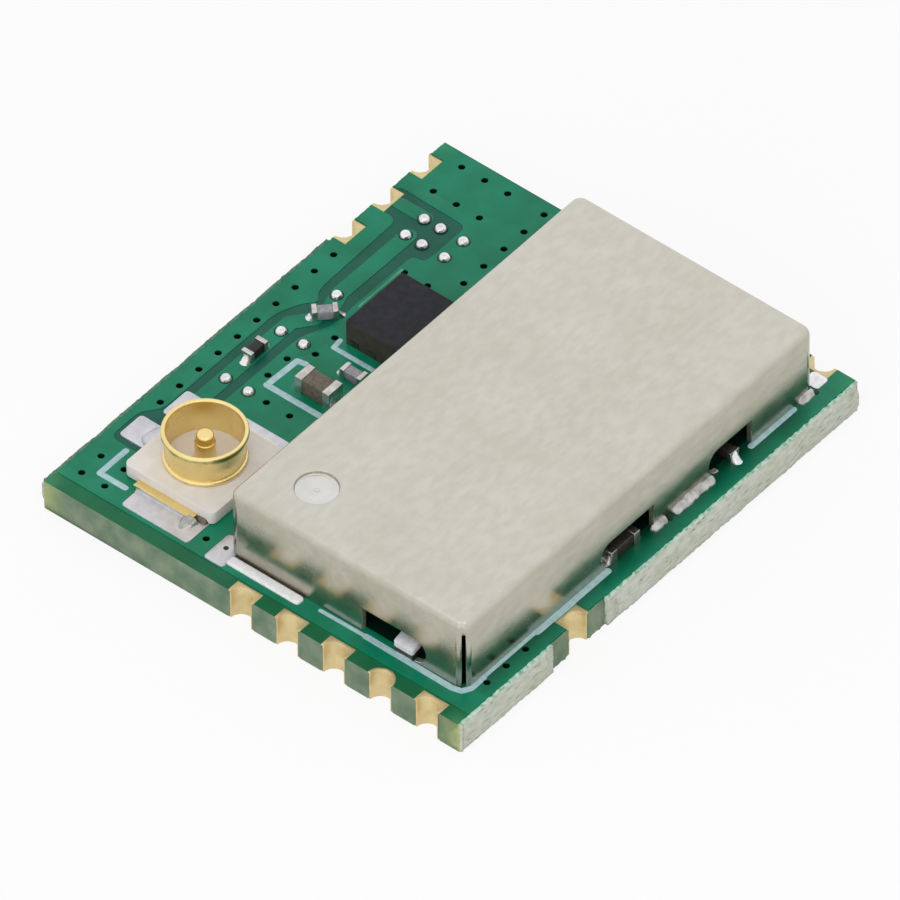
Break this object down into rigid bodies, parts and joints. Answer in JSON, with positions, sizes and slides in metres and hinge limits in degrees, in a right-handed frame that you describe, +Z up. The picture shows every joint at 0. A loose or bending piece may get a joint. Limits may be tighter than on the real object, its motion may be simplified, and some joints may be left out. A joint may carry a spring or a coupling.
{
  "type": "wireless transceiver module",
  "caption": "Small castellated radio board with a folded metal shield can, a micro coax antenna socket and the chips of its antenna line.",
  "frame": {"origin": "middle of the board's underside", "axes": "+Z up out of the component side, +X along the short edge from the coax socket to the shield can, +Y along the long edge away from the coax socket"},
  "size_m": [0.0124, 0.014, 0.0029],
  "materials": {
    "laminate": "green solder mask over glass laminate",
    "gold_plating": "flash gold over nickel, satin",
    "can_sheet": "tinned sheet, satin, lightly scuffed",
    "solder": "bright solder",
    "insulator": "moulded white polymer",
    "connector_gold": "polished gold plate",
    "black_epoxy": "moulded epoxy, fine grain",
    "chip_ends": "tinned chip ends",
    "grey_ceramic": "sintered ceramic",
    "brown_ceramic": "sintered ceramic",
    "black_glaze": "black glaze",
    "white_ceramic": "sintered ceramic",
    "lid_metal": "plated lid"
  },
  "bodies": {
    "root": {"board": "laminate", "edge_contacts": "gold_plating", "shield_can": "can_sheet", "can_solder": "solder", "connector_lands": "solder", "coax_insulator": "insulator", "coax_outer_contact": "connector_gold", "coax_centre_contact": "connector_gold", "via_solder_domes": "solder", "memory_ic": "black_epoxy", "memory_ic_leads": "chip_ends", "bend_inductor": "grey_ceramic", "bend_inductor_ends": "chip_ends", "series_resistor": "black_glaze", "series_resistor_ends": "chip_ends", "bypass_capacitor": "brown_ceramic", "bypass_capacitor_ends": "chip_ends", "small_capacitor": "grey_ceramic", "small_capacitor_ends": "chip_ends", "chip_solder": "solder", "front_port_chip": "brown_ceramic", "front_port_chip_ends": "chip_ends", "right_port_chip": "brown_ceramic", "right_port_chip_ends": "chip_ends", "back_port_chip": "brown_ceramic", "back_port_chip_ends": "chip_ends", "radio_ic": "black_epoxy", "radio_ic_leads": "chip_ends", "crystal_base": "white_ceramic", "crystal_lid": "lid_metal", "power_inductor": "grey_ceramic", "power_inductor_ends": "chip_ends", "matching_chips": "brown_ceramic", "matching_chip_ends": "chip_ends", "decoupling_chips": "brown_ceramic", "decoupling_chip_ends": "chip_ends", "crystal_capacitors": "brown_ceramic", "crystal_capacitor_ends": "chip_ends"}
  },
  "joints": []
}
